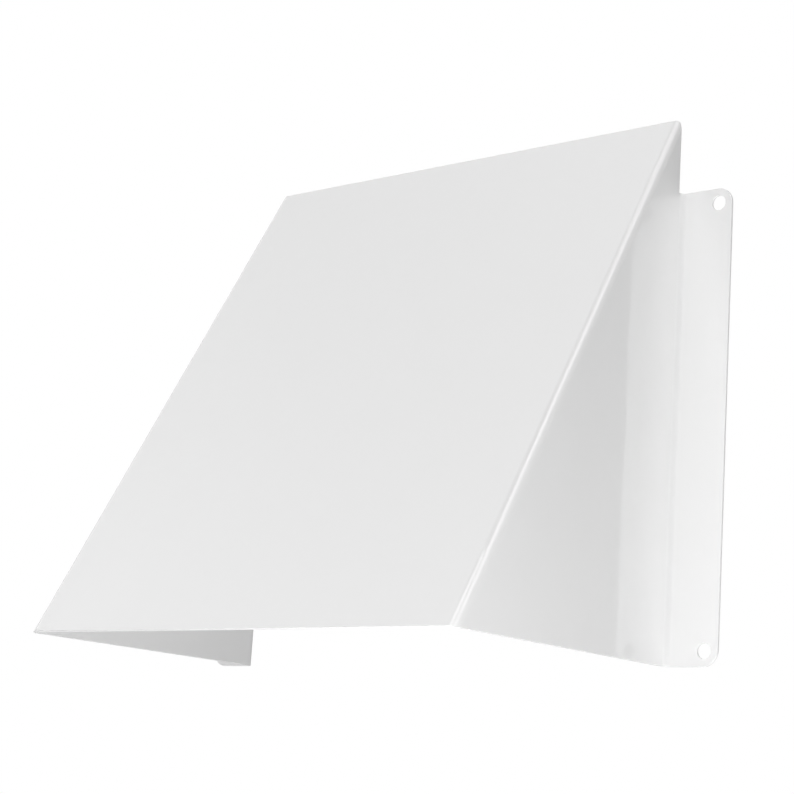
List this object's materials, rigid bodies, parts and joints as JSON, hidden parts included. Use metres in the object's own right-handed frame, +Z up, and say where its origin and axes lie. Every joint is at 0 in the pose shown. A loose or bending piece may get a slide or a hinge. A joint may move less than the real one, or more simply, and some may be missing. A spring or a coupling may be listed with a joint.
{
  "type": "vent cap",
  "caption": "Wall vent hood folded from sheet metal: sloping front plate, triangular side plates and wall flanges with screw holes, open below and behind.",
  "frame": {"origin": "on the wall plane, at the centre of the rectangle of four screw holes", "axes": "+Z up the wall, +Y into the wall, +X to the right for someone who faces the wall; the hood stands out towards -Y"},
  "size_m": [0.242, 0.119, 0.2],
  "materials": {
    "white_powder_coat": "gloss powder coat with a light orange peel"
  },
  "bodies": {
    "root": {"hood": "white_powder_coat"}
  },
  "joints": []
}
